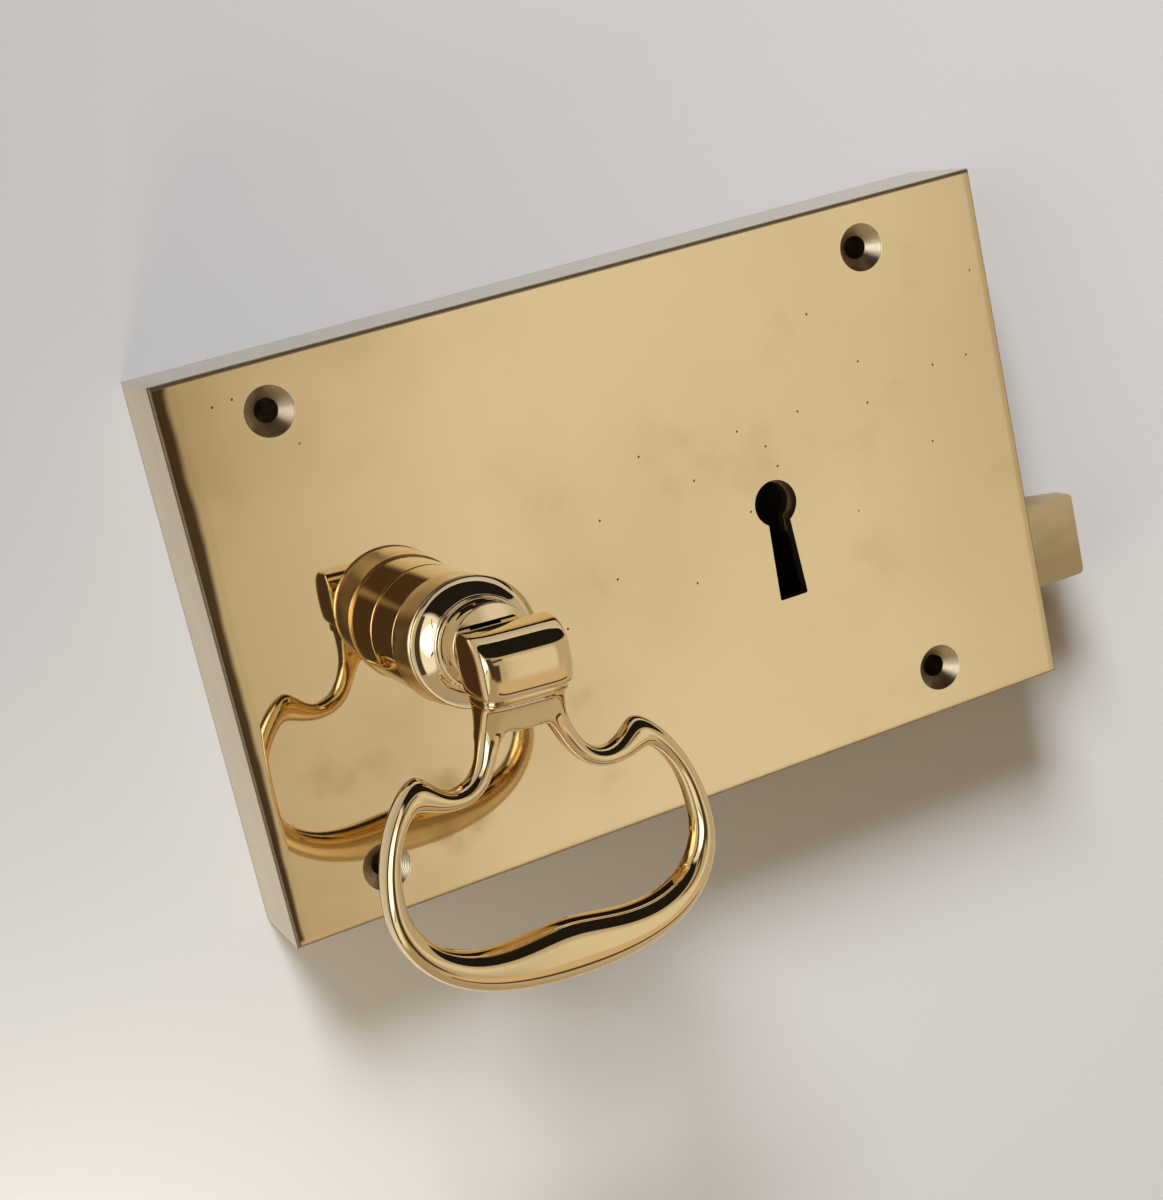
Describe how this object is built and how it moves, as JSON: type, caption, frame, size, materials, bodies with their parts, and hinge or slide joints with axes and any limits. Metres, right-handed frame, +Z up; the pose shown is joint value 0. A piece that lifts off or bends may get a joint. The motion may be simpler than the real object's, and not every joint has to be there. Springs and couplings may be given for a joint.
{
  "type": "rim lock",
  "caption": "Brass box lock for a door face, with a hinged drop handle that draws a sprung latch and a key-worked dead bolt held by levers.",
  "frame": {"origin": "centre of the case's flat back face, which lies on the door", "axes": "+Z up, +X towards the bolts, +Y into the door"},
  "size_m": [0.2196, 0.0835, 0.1325],
  "materials": {
    "case_brass": "polished, slightly clouded",
    "shank_brass": "polished",
    "handle_brass": "polished",
    "bolt_brass": "dull, worn",
    "pin_brass": "filed flush",
    "inner_brass": "as machined",
    "steel": "bright",
    "spring_steel": "tempered",
    "back_plate_steel": "rolled, oiled"
  },
  "bodies": {
    "case": {"case": "case_brass", "back_plate": "back_plate_steel", "back_plate_screws": "steel", "shank_collar": "shank_brass", "collar_nut": "inner_brass", "latch_bridge": "steel", "latch_bridge_screws": "steel", "latch_spring": "spring_steel", "lever_post": "steel", "lever_washer": "inner_brass", "spring_stud": "steel", "lever_spring_1": "spring_steel", "lever_spring_2": "spring_steel", "lever_spring_3": "spring_steel"},
    "turning_shank": {"knob_shank": "shank_brass", "spindle": "steel", "spindle_pin": "steel", "follower": "inner_brass", "hinge_pin": "pin_brass"},
    "ring": {"drop_handle": "handle_brass"},
    "latch": {"latch_bolt": "bolt_brass"},
    "dead_bolt": {"deadbolt": "bolt_brass", "bolt_stump": "bolt_brass"},
    "lever_a": {"lever_1": "inner_brass"},
    "lever_b": {"lever_2": "inner_brass"},
    "lever_c": {"lever_3": "inner_brass"}
  },
  "joints": [
    {"name": "handle_turn", "type": "hinge", "parent": "case", "child": "turning_shank", "pos_m": [-0.0543, -0.0254, -0.0034], "axis": [0, 1, 0], "range_deg": [0, 39], "stiffness_Nm_per_rad": 0.4, "springref_deg": -34.38},
    {"name": "ring_swing", "type": "hinge", "parent": "turning_shank", "child": "ring", "pos_m": [-0.0543, -0.0719, -0.0006], "axis": [-1, 0, 0], "range_deg": [0, 80]},
    {"name": "latch_slide", "type": "slide", "parent": "case", "child": "latch", "axis": [-1, 0, 0], "range_m": [0, 0.0164], "deforming": ["latch_spring"]},
    {"name": "deadbolt_slide", "type": "slide", "parent": "case", "child": "dead_bolt", "axis": [1, 0, 0], "range_m": [0, 0.014]},
    {"name": "lever_1_lift", "type": "hinge", "parent": "case", "child": "lever_a", "pos_m": [-0.008, -0.0075, 0.0245], "axis": [0, -1, 0], "range_deg": [0, 4.5], "deforming": ["lever_spring_1"]},
    {"name": "lever_2_lift", "type": "hinge", "parent": "case", "child": "lever_b", "pos_m": [-0.008, -0.0059, 0.0245], "axis": [0, -1, 0], "range_deg": [0, 4.5], "deforming": ["lever_spring_2"]},
    {"name": "lever_3_lift", "type": "hinge", "parent": "case", "child": "lever_c", "pos_m": [-0.008, -0.0043, 0.0245], "axis": [0, -1, 0], "range_deg": [0, 4.5], "deforming": ["lever_spring_3"]}
  ],
  "couplings": [
    {"joint": "latch_slide", "follows": "handle_turn", "m_per_rad": 0.024},
    {"joint": "lever_1_lift", "follows": "deadbolt_slide", "rad_per_m": 5.6},
    {"joint": "lever_2_lift", "follows": "deadbolt_slide", "rad_per_m": 5.6},
    {"joint": "lever_3_lift", "follows": "deadbolt_slide", "rad_per_m": 5.6}
  ]
}
